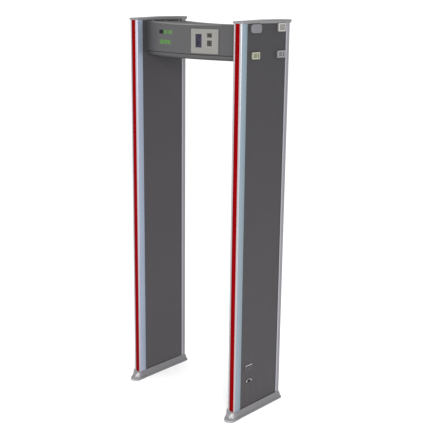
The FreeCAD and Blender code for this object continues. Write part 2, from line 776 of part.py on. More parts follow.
def front_cover(shell):
    half = beam_half
    cover = shell.common(box(-half, half, -400, top_seam_y - 0.1, crease_z, 2300))
    plate_hole = box(-plate_half_w - 0.2, plate_half_w + 0.2, -30, 30,
                     plate_z[0] - 0.2, plate_z[1] + 0.2)
    window_hole = box(-display_half_w + 3, display_half_w - 3, -30, 30,
                      display_z[0] + 3, display_z[1] - 3)
    rebate_box = box(-display_half_w - 0.2, display_half_w + 0.2, -30, 30,
                     display_z[0] - 0.2, display_z[1] + 0.2)
    rebate = on_front(rebate_box, display_x).cut(
        beam_block(display_thick + 0.05, beam_rear, crease_z - 10, beam_half))
    cover = cut_all(cover, [on_front(plate_hole, plate_x), on_front(window_hole, display_x), rebate])
    return cut_all(cover, [rod(x, y, 2150, 2250, 1.6) for x, y in top_screws() if y < top_seam_y])


def top_cover(shell):
    half = beam_half
    cover = shell.common(box(-half, half, top_seam_y + 0.1, beam_rear, 2160, 2300))
    return cut_all(cover, [rod(x, y, 2150, 2250, 1.6) for x, y in top_screws() if y > top_seam_y])


def rear_cover():
    half = beam_half - fit_gap
    sheet = box(-half, half, beam_rear - cover_wall, beam_rear, crease_z, 2300)
    sheet = sheet.common(beam_block(cover_wall + 0.05, beam_rear, crease_z, half))
    return cut_all(sheet, [rod_y(x, 0, 300, z, 1.6) for x, z in rear_screws()])


def chin_block(inset, rear_y, z0, z1, half, r):
    """Plan block with its lower front edge rounded."""
    def low_front(edge):
        extent = edge.BoundBox
        return at_height(edge, z0) and extent.XLength > 500 and extent.YMin < beam_front_end
    return fillet_where(plan_block(inset, rear_y, z0, z1, half), r, low_front)


def bottom_tray():
    """Set-back chin and floor of the beam, with sound slots under the sounder."""
    half = beam_half - fit_gap
    outer = chin_block(chin_setback, beam_rear, beam_bottom, crease_z - 0.2, half, chin_r)
    inner = chin_block(chin_setback + cover_wall, beam_rear - cover_wall, base_z, 2100, half + 10,
                       chin_r - cover_wall)
    seats = [rod(x, y, beam_bottom - 1, base_z + 1, 1.6) for x, y in tray_screws()]
    seats += [rod(x, y, beam_bottom - 1, beam_bottom + 2.1, 3.2) for x, y in tray_screws()]
    return cut_all(outer, [inner] + seats + sound_slots())


def sound_slots():
    return [box(sounder_x - 20, sounder_x + 20, sounder_y - 16 + 7.5 * i - 1.5,
                sounder_y - 16 + 7.5 * i + 1.5, beam_bottom - 1, base_z + base_thick + 1) for i in range(5)]


# ---- crossbeam structure ------------------------------------------------------------------------
sounder_x, sounder_y = -250.0, 20.0


def top_screws():
    return [(side * (beam_half - plate_end - 8), y) for side in (-1, 1) for y in (-80, 20, 130)]


def rear_screws():
    return [(x, z) for x in (-330, 0, 330) for z in (2050, 2166)]


def tray_screws():
    return [(x, y) for x in (-320, 320) for y in (-60, 130)]


def beam_chassis():
    """Folded sheet: base, tall rear wall and low front upstand, between the end plates."""
    half = beam_half - plate_end - fit_gap
    base = box(-half, half, frame_front, frame_rear, base_z, base_z + base_thick)
    rear = box(-half, half, frame_rear - base_thick, frame_rear, base_z, 2178)
    upstand = box(-half, half, frame_front, frame_front + base_thick, base_z, base_z + 22)
    folded = fuse_all([base, rear, upstand])
    tools = [rod(x, y, base_z - 1, base_z + 30, 1.45) for x, y in tray_screws()]
    tools += [rod_y(x, 150, 170, z, 1.45) for x, z in rear_screws()]
    return cut_all(folded, tools + sound_slots())


def end_plate():
    """Beam end: plate on the panel's inner skin, top flange, threaded bosses for the bolts."""
    x0 = beam_half - plate_end
    x1 = beam_half + fit_gap
    plate = box(x0, x1, frame_front, frame_rear, base_z, end_top_z)
    flange = box(x0 - end_flange, x0 + 1, frame_front, 150, end_top_z - 2.5, end_top_z - 0.2)
    bosses = [rod_x(x0 - 6, x0 + 1, y, z, 8) for y, z in bolt_points()]
    body = fuse_all([plate, flange] + bosses)
    tools = [rod_x(x0 - 20, x1 + 5, y, z, bolt_r + 0.05) for y, z in bolt_points()]
    tools += [rod_x(x0 - 20, x1 + 5, y, lead_z, 7) for y in (lead_y, mains_y)]
    tools += [rod(x, y, 2150, 2250, 1.45) for x, y in top_screws() if x > 0]
    return cut_all(body, tools)


def small_screw():
    """M3 pan-head screw along -Z, its head's underside at the origin."""
    head = Part.makeCylinder(3.0, 2.0, Vector(0, 0, 0))
    drive = Part.makeCylinder(1.1, 1.2, Vector(0, 0, 1.0))
    return Part.makeCylinder(1.4, 8.0, Vector(0, 0, -8)).fuse(head).cut(drive).removeSplitter()


def cover_screws():
    """The beam's small screws: top, rear, tray and control board."""
    screws = []
    for x, y in top_screws():
        rise = 3.2 * abs(x) / dip_r
        top_z = beam_top_end - beam_top_dip + x * x / (2 * dip_r) + rise
        screws.append(small_screw().translate(Vector(x, y, top_z)))
    for x, z in rear_screws():
        screw = small_screw()
        screw.rotate(Vector(0, 0, 0), Vector(1, 0, 0), -90)
        screws.append(screw.translate(Vector(x, beam_rear, z)))
    for x, y in tray_screws():
        screw = small_screw()
        screw.rotate(Vector(0, 0, 0), Vector(1, 0, 0), 180)
        screws.append(screw.translate(Vector(x, y, beam_bottom + 2.1)))
    for x, z in board_bosses():
        screw = small_screw()
        screw.rotate(Vector(0, 0, 0), Vector(1, 0, 0), -90)
        screw.translate(Vector(x, board_y + 1.6, z))
        screws.append(on_front(screw, plate_x))
    return screws


# ---- control plate ------------------------------------------------------------------------------
board_y = 7.0


def key_cells():
    """Centre x, centre z, height of each key, row by row from the top."""
    cells = []
    for centre_z, pitch, height in key_blocks:
        for row in (0.5, -0.5):
            for column in (-0.5, 0.5):
                cells.append((key_x + column * key_pitch_x, centre_z + row * pitch, height))
    return cells


def board_bosses():
    return [(x, z) for x in (-79, 79) for z in (plate_z[0] + 11, plate_z[1] - 11)]


def centred(x, z, half_w, half_h, y0, y1):
    return box(x - half_w, x + half_w, y0, y1, z - half_h, z + half_h)


def key_holes(gap):
    half_w = key_width / 2 + gap
    return [centred(x, z, half_w, height / 2 + gap, -10, 10) for x, z, height in key_cells()]


def control_plate():
    """Light fascia box set into the cover, with a rebate for the overlay."""
    outer = box(-plate_half_w, plate_half_w, -plate_proud, plate_depth - plate_proud, *plate_z)
    outer = fillet_where(outer, 2, lambda edge: abs(edge.BoundBox.YMax + plate_proud) < 1e-4)
    inside = box(-plate_half_w + plate_wall, plate_half_w - plate_wall, plate_wall - plate_proud,
                 30, plate_z[0] + plate_wall, plate_z[1] - plate_wall)
    bosses = [rod_y(x, plate_wall - plate_proud - 0.5, board_y, z, 4) for x, z in board_bosses()]
    rebate = box(overlay_x - overlay_half_w - 0.2, overlay_x + overlay_half_w + 0.2,
                 -plate_proud - 1, -plate_proud + 1, overlay_z[0] - 0.2, overlay_z[1] + 0.2)
    tools = [rebate, lcd_hole()] + key_holes(key_gap)
    tools += [rod_y(x, 0, board_y + 1, z, 1.45) for x, z in board_bosses()]
    body = fuse_all([outer.cut(inside)] + bosses)
    return on_front(cut_all(body, tools), plate_x)


def lcd_hole():
    return box(lcd_x - lcd_half_w, lcd_x + lcd_half_w, -30, 5, *lcd_z)


def control_overlay():
    sheet = box(overlay_x - overlay_half_w, overlay_x + overlay_half_w, -plate_proud,
                -plate_proud + 0.95, *overlay_z)
    return on_front(cut_all(sheet, [lcd_hole()] + key_holes(key_gap + 0.2)), plate_x)


def lcd_window():
    pane = box(lcd_x - lcd_half_w - 3, lcd_x + lcd_half_w + 3, plate_wall - plate_proud + 0.05, 1,
               lcd_z[0] - 3, lcd_z[1] + 3)
    return on_front(pane, plate_x)


def lcd_module():
    module = box(lcd_x - lcd_half_w - 5, lcd_x + lcd_half_w + 5, 1.1, board_y - 0.05,
                 lcd_z[0] - 4, lcd_z[1] + 4)
    return on_front(module, plate_x)


def keypad_board():
    """Circuit board behind the plate with one tact switch under each key."""
    board = box(-84, 84, board_y, board_y + 1.6, plate_z[0] + 4, plate_z[1] - 4)
    board = cut_all(board, [rod_y(x, 0, 20, z, 1.6) for x, z in board_bosses()])
    pieces = [board]
    for x, z, _ in key_cells():
        body = centred(x, z, 3, 3, board_y - 2.6, board_y)
        plunger = rod_y(x, board_y - 3.2, board_y - 2.6, z, 1.5)
        pieces.append(body.fuse(plunger).removeSplitter())
    return [on_front(piece, plate_x) for piece in pieces]


def key(x, z, height):
    """Key cap with a flange behind the plate and a stem over its tact switch."""
    half_w, half_h = key_width / 2, height / 2
    front_y = -plate_proud - key_proud
    behind = plate_wall - plate_proud + 0.1
    body = centred(x, z, half_w, half_h, front_y, behind)
    body = fillet_where(body, 0.8, lambda edge: abs(edge.BoundBox.YMax - front_y) < 1e-4)
    flange = centred(x, z, half_w + 0.5, half_h + 0.5, behind, behind + 1.2)
    stem = centred(x, z, 2, 2, behind + 1.2, board_y - 3.2 - key_travel - 0.1)
    return on_front(fuse_all([body, flange, stem]), plate_x)


# ---- display ------------------------------------------------------------------------------------
SEGMENTS = {
    "0": "abcdef", "1": "bc", "2": "abged", "3": "abgcd", "4": "fgbc",
    "5": "afgcd", "6": "afgedc", "7": "abc", "8": "abcdefg", "9": "abcdfg",
}


def digit_bars(character, x, z, width, height, bar):
    """Lit bars of one seven-segment figure, its lower left corner at x, z."""
    gap = 0.3
    middle = z + height / 2
    left, right = x + bar / 2, x + width - bar / 2
    across = {"a": z + height - bar / 2, "g": middle, "d": z + bar / 2}
    upright = {"f": (left, middle, z + height), "b": (right, middle, z + height),
               "e": (left, z, middle), "c": (right, z, middle)}
    bars = []
    for name in SEGMENTS[character]:
        if name in across:
            zc = across[name]
            bars.append(box(x + bar + gap, x + width - bar - gap, -3, 9,
                            zc - bar / 2, zc + bar / 2))
        else:
            xc, low, high = upright[name]
            bars.append(box(xc - bar / 2, xc + bar / 2, -3, 9, low + gap, high - gap))
    return bars


def display_bars():
    """Light bars of both counters, ending flush with the bowed front."""
    bars = []
    for row, x, z, width, height, pitch, bar in (
            (upper_digits, -15.0, 2133.0, 10.4, 18.0, 15.4, 2.9),
            (lower_digits, -53.0, 2077.0, 12.0, 21.0, 17.2, 3.4)):
        for i, character in enumerate(row):
            bars += digit_bars(character, x + i * pitch, z, width, height, bar)
    return [on_front(bar, display_x).common(bar_envelope) for bar in bars]


bar_envelope = plan_block(-0.3, 0, 2050, 2170, beam_half)


def receiver_window():
    """Black infrared receiver window beside the upper counter."""
    pane = rounded_block(-59, -19, 2131, 2153, 0, 6, 5, 5)
    pane.rotate(Vector(0, 0, 0), Vector(1, 0, 0), 90)
    pane.translate(Vector(0, 3, 0))
    return on_front(pane, display_x).common(bar_envelope)


def display_window(bars, receiver):
    area = box(-display_half_w, display_half_w, -30, 30, *display_z)
    pane = on_front(area, display_x).common(
        beam_block(0, 0, crease_z, beam_half).cut(
            beam_block(display_thick, 10, crease_z - 1, beam_half + 5)))
    return cut_all(pane, bars + [receiver])


def display_board():
    board = box(-66, 66, 10, 11.6, display_z[0] + 6, display_z[1] - 6)
    chips = [box(-50 + 25 * i, -38 + 25 * i, 11.6, 14, 2108, 2120) for i in range(5)]
    return [on_front(piece, display_x) for piece in [board] + chips]


# ---- electronics --------------------------------------------------------------------------------
def main_board():
    """Signal board on four pillars, with chips, capacitors and the two coil connectors."""
    z = base_z + base_thick + 12
    board = box(-125, 125, -10, 150, z, z + 1.6)
    pillars = [rod(x, y, base_z + base_thick, z, 3.5) for x in (-118, 118) for y in (-3, 143)]
    chips = [box(-60 + 45 * i, -36 + 45 * i, 90, 114, z + 1.6, z + 4.6) for i in range(3)]
    cans = [rod(-70 + 24 * i, 20, z + 1.6, z + 19, 6) for i in range(6)]
    sockets = [box(side * board_connector_x - 9, side * board_connector_x + 9, lead_y - 8,
                   lead_y + 8, z + 1.6, connector_top) for side in (-1, 1)]
    return [board] + pillars + chips + cans + sockets


connector_top = 2046.0
supply_top = 2052.0


def power_supply():
    """Caged supply with vent slots in its lid and a terminal block."""
    x0, x1 = supply_x
    can = box(x0, x1, -90, 8, base_z + base_thick, supply_top)
    slots = [box(x0 + 20 + 12 * i, x0 + 24 + 12 * i, -40, -4, supply_top - 2, supply_top + 1)
             for i in range(10)]
    terminal = box(mains_entry_x - 12, mains_entry_x + 12, mains_y - 9, mains_y + 9,
                   supply_top, supply_top + 12)
    return [cut_all(can, slots), terminal]


def sounder():
    """Round sounder: magnet, basket and cone over the sound slots."""
    z = base_z + base_thick
    ring = rod(sounder_x, sounder_y, z, z + 5, 33)
    ring = ring.cut(rod(sounder_x, sounder_y, z - 1, z + 4, 28))
    basket = Part.makeCone(31, 17, 14, Vector(sounder_x, sounder_y, z + 5))
    magnet = rod(sounder_x, sounder_y, z + 19, z + 28, 20)
    return fuse_all([ring, basket, magnet])


def coil_lead(side):
    """Lead from the coil's top bar, through the panel's inner skin, down to the main board."""
    x = half_pitch + coil_x
    points = [Vector(x, lead_y, coil_top + coil_bar / 2), Vector(x, lead_y, lead_z),
              Vector(board_connector_x, lead_y, lead_z),
              Vector(board_connector_x, lead_y, connector_top)]
    tube = cable(points, lead_r, lead_bend)
    return tube if side > 0 else tube.mirror(Vector(0, 0, 0), Vector(1, 0, 0))


def mains_cables():
    """Inlet-to-switch link, and the supply lead up the front duct and into the beam."""
    x = half_pitch + mains_x
    link = rod(half_pitch + 12, link_y, inlet_z + 10.5, switch_z - 14, lead_r)
    points = [Vector(x, switch_y - 18, switch_z), Vector(x, mains_duct_y, switch_z),
              Vector(x, mains_duct_y, lead_z), Vector(x, mains_y, lead_z),
              Vector(mains_entry_x, mains_y, lead_z),
              Vector(mains_entry_x, mains_y, supply_top + 12)]
    return [link, cable(points, mains_r, mains_bend)]


# ---- build --------------------------------------------------------------------------------------
def build_panel(name, side, spans, core_shape, outer_board, inner_board):
    write(name + "_front_profile", on_side(front_profile(), side))
    write(name + "_rear_profile", on_side(rear_profile(), side))
    write(name + "_lens", on_side(lens(), side))
    write(name + "_led_strip", [on_side(piece, side) for piece in led_strip()])
    write(name + "_outer_skin", on_side(outer_board, side))
    write(name + "_inner_skin", on_side(inner_board, side))
    write(name + "_core", on_side(core_shape, side))
    write(name + "_coil", [on_side(coil_loop(z0, z1), side) for z0, z1 in spans])
    write(name + "_shoe", under_panel(shoe(), side))
    write(name + "_cap", on_side(cap(), side))


def build_fixings():
    ports = (front_port_y, rear_port_y)
    cap_screw = [port_screw(y, cap_top(y) - 4, 2.4, gate_height - 34) for y in ports]
    shoe_screw = [port_screw(y, 5, -2.4, 30) for y in ports]
    sides = (-1, 1)
    write("cap_screws", [on_side(s, side) for side in sides for s in cap_screw])
    write("shoe_screws", [on_side(s, side) for side in sides for s in shoe_screw])
    write("anchor_cups", [under_panel(anchor_cup(), side) for side in sides])
    write("beam_bolts", [on_side(beam_bolt(y, z), side) for side in sides for y, z in bolt_points()])
    closed = [on_side(closed_cover(y, z), -1) for y, z in bolt_points()]
    write("bolt_covers", closed + [on_side(closed_cover(bolt_y[0], bolt_z[1]), 1)])
    write("open_bolt_covers", [on_side(piece, 1) for piece in open_covers()])


def build_mains_fittings():
    write("power_inlet", on_side(power_inlet(), 1))
    write("inlet_screws", [on_side(inlet_screw(y), 1) for y in inlet_screw_ys])
    write("switch_bezel", on_side(switch_bezel(), 1))
    write("power_rocker", on_side(power_rocker(), 1))


def build_beam():
    shell = beam_shell()
    write("front_cover", front_cover(shell))
    write("top_cover", top_cover(shell))
    write("rear_cover", rear_cover())
    write("bottom_tray", bottom_tray())
    write("beam_chassis", beam_chassis())
    write("right_end_plate", end_plate())
    write("left_end_plate", end_plate().mirror(Vector(0, 0, 0), Vector(1, 0, 0)))
    write("cover_screws", cover_screws())


def build_controls():
    write("control_plate", control_plate())
    write("control_overlay", control_overlay())
    write("lcd_window", lcd_window())
    write("lcd_module", lcd_module())
    write("keypad_board", keypad_board())
    for number, cell in enumerate(key_cells(), 1):
        write("key_%d" % number, key(*cell))


def build_display():
    bars = display_bars()
    receiver = receiver_window()
    write("display_window", display_window(bars, receiver))
    write("display_digits", bars)
    write("receiver_window", receiver)
    write("display_board", display_board())


def build_electronics():
    write("main_board", main_board())
    write("power_supply", power_supply())
    write("sounder", sounder())
    write("coil_cables", [coil_lead(side) for side in (-1, 1)])
    write("mains_cable", mains_cables())


os.makedirs(PARTS, exist_ok=True)
left_spans = transmit_spans()
right_spans = receive_spans()
build_panel("left", -1, left_spans, core(left_spans), skin(False), skin(True))
build_panel("right", 1, right_spans, mains_core(right_spans), mains_outer_skin(),
            mains_inner_skin())
build_fixings()
build_mains_fittings()
build_beam()
build_controls()
build_display()
build_electronics()
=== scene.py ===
"""Looks for the walk-through metal-detector gate: materials, fine trim, a pale studio and a camera.

Everything is in metres in the CAD model's frame. Positions come from the model's own boxes.
Colours are linear red, green and blue, and a list of stops is a list of (position, colour).
"""
import math
import bmesh
import bpy
from mathutils import Matrix, Vector


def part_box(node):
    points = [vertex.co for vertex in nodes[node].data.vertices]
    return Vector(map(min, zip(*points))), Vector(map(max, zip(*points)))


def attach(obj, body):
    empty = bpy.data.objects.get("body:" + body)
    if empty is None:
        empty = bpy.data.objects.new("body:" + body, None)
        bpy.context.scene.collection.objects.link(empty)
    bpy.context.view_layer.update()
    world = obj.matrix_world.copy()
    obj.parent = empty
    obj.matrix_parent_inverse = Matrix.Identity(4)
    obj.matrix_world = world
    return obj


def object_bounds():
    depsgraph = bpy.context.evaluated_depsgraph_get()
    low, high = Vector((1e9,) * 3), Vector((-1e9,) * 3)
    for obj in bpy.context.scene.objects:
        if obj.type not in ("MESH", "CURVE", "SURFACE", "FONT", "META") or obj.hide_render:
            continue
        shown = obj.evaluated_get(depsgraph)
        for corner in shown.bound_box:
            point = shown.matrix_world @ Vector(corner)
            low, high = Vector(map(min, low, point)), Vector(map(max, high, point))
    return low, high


# ---- driving values -----------------------------------------------------------------------------
MM = 0.001
SIDES = ("left", "right")
KEYS = ["key_%d" % number for number in range(1, 9)]

# the camera: its place, its angles in radians, its lens and sensor in millimetres
CAMERA_AT = (3.3329, -3.5292, 2.3249)
CAMERA_YAW = 0.74282
CAMERA_PITCH = 0.24792
CAMERA_ROLL = 0.01097
CAMERA_LENS = 71.624
CAMERA_SENSOR = 36.0

# the studio
FLOOR_SIZE = 40.0
WORLD_STRENGTH = 1.12

# the bowed front of the crossbeam: half its chord, its depth and its radius
BOW_HALF = 367.0 * MM
BOW_DEPTH = 56.0 * MM
BOW_R = (BOW_HALF ** 2 + BOW_DEPTH ** 2) / (2 * BOW_DEPTH)

# the control plate: its middle's distance from the beam's, and how far faces stand out from the bow
PLATE_X = 139.0 * MM
PLATE_FACE = 4.0 * MM
KEY_FACE = 6.0 * MM

# printed marks: their height above the face that they are on, and how far their edges are drawn
# in as a share of that height
PRINT_RISE = 0.15 * MM
FIELD_RISE = 0.12 * MM
LCD_RISE = 0.05 * MM
EDGE_DRAW = 0.6

# the line round the LCD window, inside the window's own edge
LCD_LINE = 1.2 * MM
LCD_LINE_INSET = 1.5 * MM

# the dark field round each block of four keys: the keys' hidden flange, the gap left round each
# key, and the field's border
KEY_FLANGE = 0.5 * MM
KEY_GAP = 0.3 * MM
FIELD_BORDER = 1.5 * MM

# the marks on the keys: an arrow, or a stack of bars
MARK_SIZE = 1.9 * MM
MARK_BAR = 0.9 * MM
MARK_PITCH = 1.6 * MM
ARROW = [(-1.0, -0.7), (1.0, -0.7), (0.0, 1.0)]

# the LCD's figures and its level bars
SEGMENTS = {"0": "abcdef", "1": "bc", "2": "abged", "8": "abcdefg"}
LCD_MARGIN = 6.0 * MM
LCD_BEHIND_GLASS = 0.08 * MM
FIGURE_ROWS = [("0128", 21.0 * MM), ("2018", 38.0 * MM)]
FIGURE_PITCH = 9.0 * MM
FIGURE_WIDTH = 6.4 * MM
FIGURE_HEIGHT = 12.0 * MM
FIGURE_BAR = 1.3 * MM
LEVEL_BARS = 9
LEVEL_PITCH = 3.9 * MM
LEVEL_WIDTH = 2.6 * MM
LEVEL_FOOT = 8.0 * MM
LEVEL_FIRST = 2.0 * MM
LEVEL_STEP = 1.6 * MM

# a bead's section is its width across and its height outwards, and a strip's has its broken edge too
GASKET = (2.4 * MM, 1.6 * MM)

# the shoes' pale ledge strips, a painted highlight on the ledge: out from the panel's sides, and in
# from its front and its rear
TRIM_STRIP = (3.4 * MM, 1.2 * MM, 0.4 * MM)
TRIM_CLEAR = 2.0 * MM
TRIM_FRONT = 12.0 * MM
TRIM_REAR = 10.0 * MM

# the dark strip in the beam's crease, painted shade under the cover's edge: below the cover, behind
# the bow, and short of the bow's ends
CREASE_STRIP = (3.4 * MM, 4.3 * MM, 0.8 * MM)
CREASE_DROP = 4.6 * MM
CREASE_SETBACK = 7.2 * MM
CREASE_ENDS = 2.0 * MM
CREASE_STEPS = 36

# the pale bead over the switch, a painted highlight on the bezel's top edge: behind the bezel's
# face, above its top, and short of its ends
LIP_BEAD = (3.2 * MM, 1.8 * MM)
LIP_BACK = 0.9 * MM
LIP_ABOVE = 0.4 * MM
LIP_ENDS = 2.0 * MM

# the pale arch over the inlet, a painted highlight on its moulded rim: behind the inlet's face, its
# half width, its rise, its foot's height
ARC_BEAD = (1.9 * MM, 1.1 * MM)
ARC_BACK = 0.4 * MM
ARC_REACH = 18.0 * MM
ARC_RISE = 8.6 * MM
ARC_FOOT = 1.5 * MM
ARC_STEPS = 12

# scale of the spark grain that moulded plastic has, and its relief in metres
SPARK = 900.0
SPARK_RELIEF = 0.0002

WHITE = (1.0, 1.0, 1.0)
BLACK = (0.0, 0.0, 0.0)

# anodised profiles, front to rear, in painted light: a painted highlight on the nose, painted shade
# behind it, the flat, its far edge; the left copy is painted paler against the shade the right panel
# throws on it
FRONT_PAINTED_SHEEN = {
    "left": [(0.0, (0.330, 0.300, 0.325)), (0.02, (0.320, 0.300, 0.330)),
             (0.07, (0.200, 0.215, 0.275)), (0.22, (0.270, 0.308, 0.400)),
             (1.0, (0.212, 0.247, 0.306))],
    "right": [(0.0, (0.320, 0.290, 0.300)), (0.02, (0.310, 0.290, 0.305)),
              (0.07, (0.150, 0.185, 0.205)), (0.22, (0.200, 0.253, 0.302)),
              (1.0, (0.150, 0.195, 0.222))],
}
# rear profiles, from the skin's edge to the rear: a painted reflection along the flat, painted shade
# over the rounded corner
REAR_PAINTED_SHEEN = [(0.0, (0.33, 0.32, 0.35)), (0.16, (0.30, 0.295, 0.32)),
              (0.34, (0.195, 0.190, 0.210)), (1.0, (0.190, 0.186, 0.205))]

# moulded shoes, front to rear, with a painted highlight on the toe
SHOE_TOE_HIGHLIGHT = [(0.0, (0.250, 0.247, 0.258)), (0.07, (0.195, 0.192, 0.202)),
              (0.16, (0.122, 0.120, 0.127)), (1.0, (0.122, 0.120, 0.127))]
# moulded caps, bottom to top, in painted light: paler low down against the shade on the
# inward-sloping skirt, darker towards the top
CAP_PAINTED_LIGHT_AND_SHADE = [(0.0, (0.143, 0.143, 0.149)), (0.4, (0.140, 0.140, 0.146)),
             (0.75, (0.108, 0.108, 0.113)), (1.0, (0.09, 0.09, 0.094))]
# the beam's chin, bottom to top: painted shade on its rounded underside, paler up its front
CHIN_PAINTED_SHADE = [(0.0, (0.028, 0.028, 0.030)), (0.35, (0.040, 0.040, 0.042)),
              (0.6, (0.053, 0.053, 0.055)), (1.0, (0.053, 0.053, 0.055))]

BEAM_GREY = (0.0455, 0.0442, 0.0462)
INLET_DARK = (0.038, 0.036, 0.039)
TRACK_GREEN = (0.01, 0.10, 0.045)
TRACK_GREEN_PALE = (0.012, 0.13, 0.055)
TRACK_COPPER = (0.05, 0.24, 0.11)
# the bolt-cover frames' tones: cream and lilac below, white above
FRAME_CREAM = (0.25, 0.255, 0.19)
FRAME_LILAC = (0.185, 0.18, 0.195)
FRAME_WHITE = (0.30, 0.295, 0.285)

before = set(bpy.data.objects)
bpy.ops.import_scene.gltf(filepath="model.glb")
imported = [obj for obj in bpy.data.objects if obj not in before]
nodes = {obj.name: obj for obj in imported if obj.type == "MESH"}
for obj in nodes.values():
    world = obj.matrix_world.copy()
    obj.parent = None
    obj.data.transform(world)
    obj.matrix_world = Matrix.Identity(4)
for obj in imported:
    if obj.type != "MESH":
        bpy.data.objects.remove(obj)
cad_low, cad_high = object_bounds()


# ---- node helpers -------------------------------------------------------------------------------
def grey(value):
    return (value, value, value)


def shade(colour, factor):
    return tuple(min(1.0, c * factor) for c in colour)


def new_material(name):
    """A new material, its node tree and its shader."""
    mat = bpy.data.materials.new(name)
    mat.use_nodes = True
    tree = mat.node_tree
    return mat, tree, tree.nodes["Principled BSDF"]


def add(tree, kind, **values):
    """A new node, with the values given set as its properties."""
    node = tree.nodes.new(kind)
    for key, value in values.items():
        setattr(node, key, value)
    return node


def object_vector(tree, scale=(1.0, 1.0, 1.0)):
    """Object coordinates, stretched by scale."""
    coords = add(tree, "ShaderNodeTexCoord")
    mapping = add(tree, "ShaderNodeMapping")
    mapping.inputs["Scale"].default_value = scale
    tree.links.new(coords.outputs["Object"], mapping.inputs["Vector"])
    return mapping.outputs["Vector"]


def along(tree, axis, start, end):
    """0 to 1 along one object axis, from start to end."""
    split = add(tree, "ShaderNodeSeparateXYZ")
    tree.links.new(object_vector(tree), split.inputs["Vector"])
    span = add(tree, "ShaderNodeMapRange")
    span.inputs["From Min"].default_value = start
    span.inputs["From Max"].default_value = end
    tree.links.new(split.outputs[axis], span.inputs["Value"])
    return span.outputs["Result"]


def noise(tree, vector, scale, detail=3.0, rough=0.55):
    node = add(tree, "ShaderNodeTexNoise")
    node.inputs["Scale"].default_value = scale
    node.inputs["Detail"].default_value = detail
    node.inputs["Roughness"].default_value = rough
    tree.links.new(vector, node.inputs["Vector"])
    return node.outputs["Fac"]


def ramp(tree, factor, stops):
    """The colour that the stops give for the factor."""
    node = add(tree, "ShaderNodeValToRGB")
    elements = node.color_ramp.elements
    elements[0].position, elements[0].color = stops[0][0], (*stops[0][1], 1.0)
    elements[1].position, elements[1].color = stops[-1][0], (*stops[-1][1], 1.0)
    for position, colour in stops[1:-1]:
        elements.new(position).color = (*colour, 1.0)
    tree.links.new(factor, node.inputs["Fac"])
    return node.outputs["Color"]


def drift(tree, factor, low, high):
    """The colours low to high, over the middle of a noise or of a distance."""
    return ramp(tree, factor, [(0.3, low), (0.7, high)])


def spread(tree, factor, low, high):
    """The numbers low to high, over the middle of a noise."""
    node = add(tree, "ShaderNodeMapRange")
    node.inputs["From Min"].default_value = 0.3
    node.inputs["From Max"].default_value = 0.7
    node.inputs["To Min"].default_value = low
    node.inputs["To Max"].default_value = high
    tree.links.new(factor, node.inputs["Value"])
    return node.outputs["Result"]


def mix(tree, factor, a, b, blend="MIX"):
    """Mix two colours.

    A Mix node's inputs 0, 6 and 7 are the factor and the two colours, and its output 2 is a colour.
    """
    node = add(tree, "ShaderNodeMix", data_type="RGBA", blend_type=blend)
    for socket, value in ((node.inputs[0], factor), (node.inputs[6], a), (node.inputs[7], b)):
        if isinstance(value, bpy.types.NodeSocket):
            tree.links.new(value, socket)
        elif isinstance(value, tuple):
            socket.default_value = (*value, 1.0)
        else:
            socket.default_value = value
    return node.outputs[2]


def multiply(tree, a, b):
    return mix(tree, 1.0, a, b, "MULTIPLY")


def bump(tree, shader, height, strength, distance):
    node = add(tree, "ShaderNodeBump")
    node.inputs["Strength"].default_value = strength
    node.inputs["Distance"].default_value = distance
    tree.links.new(height, node.inputs["Height"])
    tree.links.new(node.outputs["Normal"], shader.inputs["Normal"])


# ---- materials ----------------------------------------------------------------------------------
def plastic_finish(tree, shader, vector, base, rough, grain, relief, gloss):
    """Spark grain, uneven gloss and a restrained highlight over a base colour."""
    fine = noise(tree, vector, grain, 2.0, 0.6)
    speck = ramp(tree, fine, [(0.35, grey(0.93)), (0.65, WHITE)])
    tree.links.new(multiply(tree, base, speck), shader.inputs["Base Color"])
    sheen = spread(tree, noise(tree, vector, 6.0, 4.0), rough - 0.05, rough + 0.07)
    tree.links.new(sheen, shader.inputs["Roughness"])
    shader.inputs["Specular IOR Level"].default_value = gloss
    bump(tree, shader, fine, relief, SPARK_RELIEF)


def moulded(name, colour, rough=0.5, grain=SPARK, relief=0.25, gloss=0.3):
    """Moulded plastic with a faint tone drift."""
    mat, tree, shader = new_material(name)
    vector = object_vector(tree)
    tone = drift(tree, noise(tree, vector, 6.0, 4.0), shade(colour, 0.94), shade(colour, 1.06))
    plastic_finish(tree, shader, vector, tone, rough, grain, relief, gloss)
    return mat


def moulded_fade(name, axis, start, end, stops, rough=0.5):
    """Moulded plastic whose tone changes along one axis of the object, as stops of painted light and
    shade.
    """
    mat, tree, shader = new_material(name)
    vector = object_vector(tree)
    base = ramp(tree, along(tree, axis, start, end), stops)
    cloud = drift(tree, noise(tree, vector, 7.0, 4.0), grey(0.94), WHITE)
    plastic_finish(tree, shader, vector, multiply(tree, base, cloud), rough, SPARK, 0.2, 0.3)
    return mat


def anodised(name, node, stops):
    """Drawn and anodised aluminium: streaks along the extrusion, and a painted sheen from front to
    rear, its highlight and shade as the stops give.
    """
    mat, tree, shader = new_material(name)
    low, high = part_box(node)
    streaks = noise(tree, object_vector(tree, (1.0, 1.0, 0.012)), 700.0, 3.0, 0.65)
    clouds = noise(tree, object_vector(tree), 3.0, 2.0)
    # painted light: the stops lay the profile's highlight and shade along it from front to rear
    sheen = ramp(tree, along(tree, "Y", low.y, high.y), stops)
    drawn = multiply(tree, sheen, drift(tree, streaks, (0.93, 0.93, 0.94), WHITE))
    tone = multiply(tree, drawn, drift(tree, clouds, (0.96, 0.96, 0.97), WHITE))
    tree.links.new(tone, shader.inputs["Base Color"])
    tree.links.new(spread(tree, streaks, 0.31, 0.42), shader.inputs["Roughness"])
    shader.inputs["Metallic"].default_value = 0.5
    bump(tree, shader, streaks, 0.2, 0.0001)
    return mat


